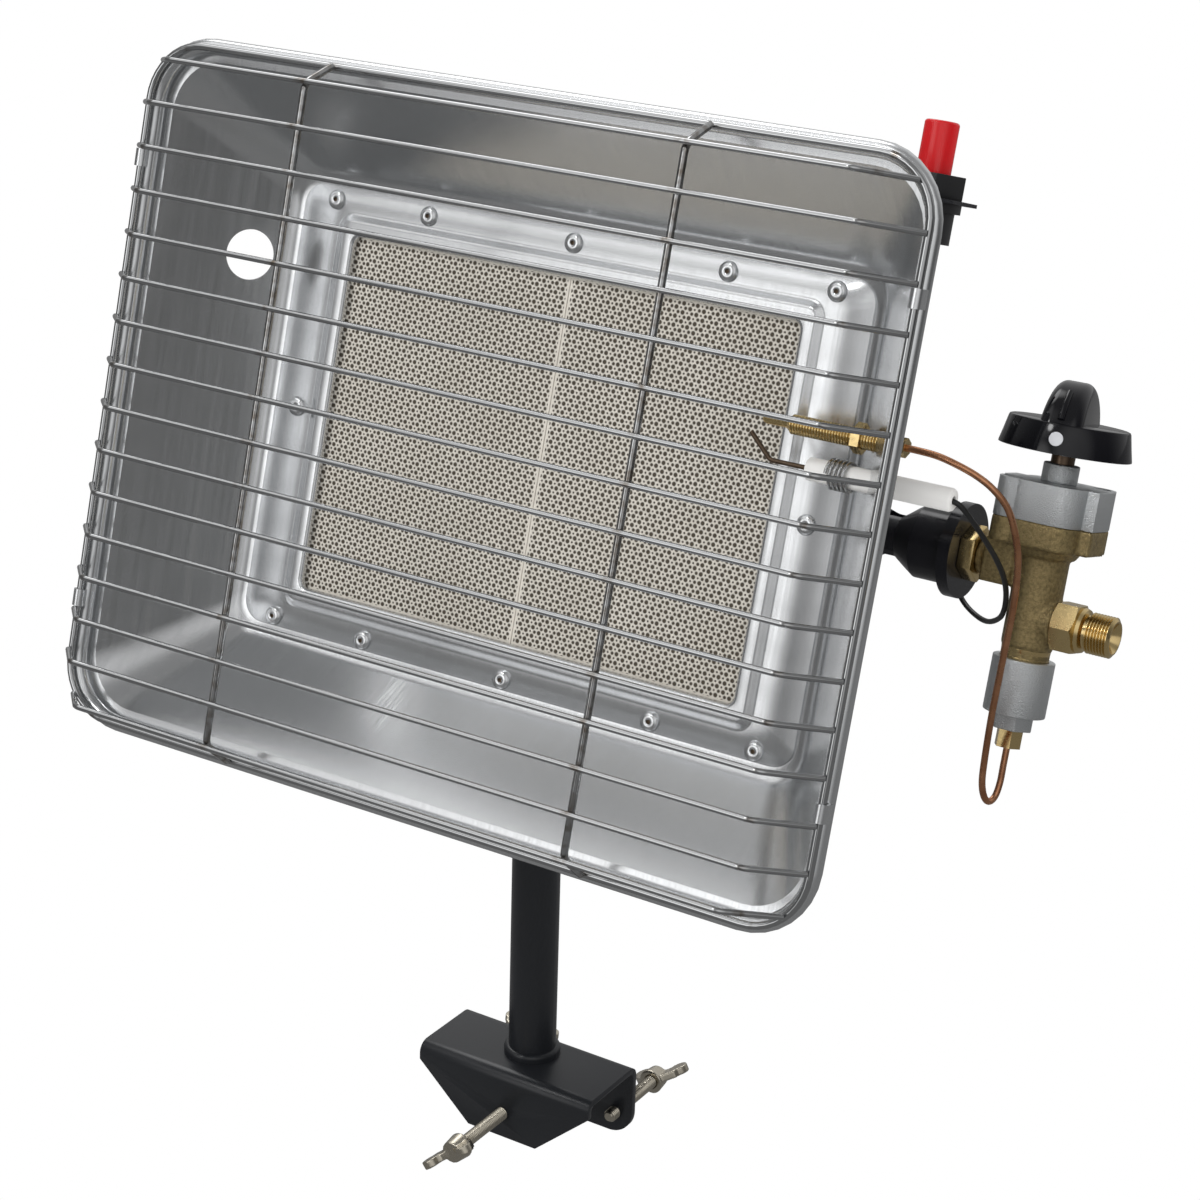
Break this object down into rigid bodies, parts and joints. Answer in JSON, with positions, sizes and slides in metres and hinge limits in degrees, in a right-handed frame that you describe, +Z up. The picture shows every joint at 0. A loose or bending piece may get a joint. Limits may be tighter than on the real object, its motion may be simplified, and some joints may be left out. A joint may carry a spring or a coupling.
{
  "type": "portable propane heater",
  "caption": "Gas heater head with reflector dish, ceramic burner, wire guard, valve, knob and push igniter, tilting on a tube with a collar clamp.",
  "frame": {"origin": "on the support tube's axis at the underside of the clamp bracket's top plate, where the bottle's collar bears", "axes": "+Z up along the tube, -Y the way the dish faces, +X towards the valve"},
  "size_m": [0.3574, 0.1597, 0.4011],
  "materials": {
    "black_paint": "satin black enamel",
    "nickel": "nickel plated, warm satin",
    "zinc_steel": "zinc plated",
    "aluminium": "satin mill finish, partly mirror-like",
    "bright_wire": "chrome plated wire",
    "tile_ceramic": "matt beige, perforated",
    "fibre": "ceramic fibre",
    "aluminised": "aluminised steel",
    "black_steel": "satin black",
    "cast_brass": "sand cast, olive brown",
    "machined_brass": "bright machined",
    "zinc_cast": "bluish grey die cast zinc",
    "dark_steel": "brown-black",
    "spring_steel": "drawn wire",
    "black_gloss": "glossy black",
    "black_matte": "satin black",
    "copper": "drawn copper, lightly tarnished",
    "white_ceramic": "glazed white",
    "red_gloss": "glossy red",
    "black_sleeve": "silicone sleeve"
  },
  "bodies": {
    "support": {"clamp_bracket": "black_paint", "support_tube": "black_paint"},
    "head": {"tilt_bolt": "zinc_steel", "rear_bracket": "black_paint", "bracket_screws": "zinc_steel", "reflector": "aluminium", "guard_tabs": "aluminium", "wire_guard": "bright_wire", "burner_bezel": "aluminium", "bezel_rivets": "aluminium", "tile_gasket": "fibre", "left_tile": "tile_ceramic", "right_tile": "tile_ceramic", "burner_box": "aluminised", "gas_baffle": "aluminised", "mixer_tube": "black_steel", "jet_holder": "machined_brass", "mixer_locknut": "machined_brass", "valve_body": "cast_brass", "valve_bonnet": "zinc_cast", "bonnet_screws": "zinc_steel", "stem_collar": "zinc_cast", "stem_spring": "spring_steel", "inlet_connector": "machined_brass", "magnet_unit": "zinc_cast", "lead_nut": "machined_brass", "copper_lead": "copper", "thermocouple_sleeve": "machined_brass", "thermocouple_nuts": "machined_brass", "electrode_insulator": "white_ceramic", "electrode_rod": "dark_steel", "electrode_clip": "spring_steel", "ignition_cable": "black_sleeve", "igniter_bracket": "black_steel", "igniter_body": "black_matte", "igniter_nut": "black_matte", "igniter_spring": "spring_steel"},
    "front_stud": {"front_stud": "nickel"},
    "front_wing": {"front_wing": "nickel"},
    "left_stud": {"left_stud": "nickel"},
    "left_wing": {"left_wing": "nickel"},
    "right_stud": {"right_stud": "nickel"},
    "right_wing": {"right_wing": "nickel"},
    "tilt_nut": {"tilt_wing_nut": "nickel"},
    "stem": {"valve_stem": "dark_steel"},
    "knob": {"control_knob": "black_gloss"},
    "button": {"igniter_button": "red_gloss"}
  },
  "joints": [
    {"name": "head_tilt", "type": "hinge", "parent": "support", "child": "head", "pos_m": [0, 0, 0.1477], "axis": [1, 0, 0], "range_deg": [-20, 25]},
    {"name": "tilt_nut_turn", "type": "hinge", "parent": "head", "child": "tilt_nut", "pos_m": [0, 0, 0.1477], "axis": [1, 0, 0], "continuous": true},
    {"name": "knob_push", "type": "slide", "parent": "head", "child": "stem", "axis": [0, 0.2588, 0.9659], "range_m": [-0.003, 0], "stiffness_N_per_m": 900, "springref_m": 0.004},
    {"name": "knob_turn", "type": "hinge", "parent": "stem", "child": "knob", "pos_m": [0.1843, 0.01736, 0.28591], "axis": [0, 0.2588, 0.9659], "range_deg": [-90, 150]},
    {"name": "igniter_push", "type": "slide", "parent": "head", "child": "button", "axis": [0, 0.2588, 0.9659], "range_m": [-0.006, 0], "stiffness_N_per_m": 900, "springref_m": 0.004},
    {"name": "front_screw_turn", "type": "hinge", "parent": "front_stud", "child": "front_wing", "pos_m": [0, -0.02, -0.015], "axis": [0, -1, 0], "range_deg": [-3240, 1800]},
    {"name": "front_screw_feed", "type": "slide", "parent": "support", "child": "front_stud", "axis": [0, -1, 0], "range_m": [-0.00721, 0.00401]},
    {"name": "left_screw_turn", "type": "hinge", "parent": "left_stud", "child": "left_wing", "pos_m": [-0.0305, 0.014, -0.0196], "axis": [0, 1, 0], "range_deg": [-3240, 1800]},
    {"name": "left_screw_feed", "type": "slide", "parent": "support", "child": "left_stud", "axis": [0, 1, 0], "range_m": [-0.00721, 0.00401]},
    {"name": "right_screw_turn", "type": "hinge", "parent": "right_stud", "child": "right_wing", "pos_m": [0.0305, 0.014, -0.0196], "axis": [0, 1, 0], "range_deg": [-3240, 1800]},
    {"name": "right_screw_feed", "type": "slide", "parent": "support", "child": "right_stud", "axis": [0, 1, 0], "range_m": [-0.00721, 0.00401]}
  ],
  "couplings": [
    {"joint": "front_screw_feed", "follows": "front_screw_turn", "m_per_rad": 0.00012732},
    {"joint": "left_screw_feed", "follows": "left_screw_turn", "m_per_rad": 0.00012732},
    {"joint": "right_screw_feed", "follows": "right_screw_turn", "m_per_rad": 0.00012732}
  ]
}
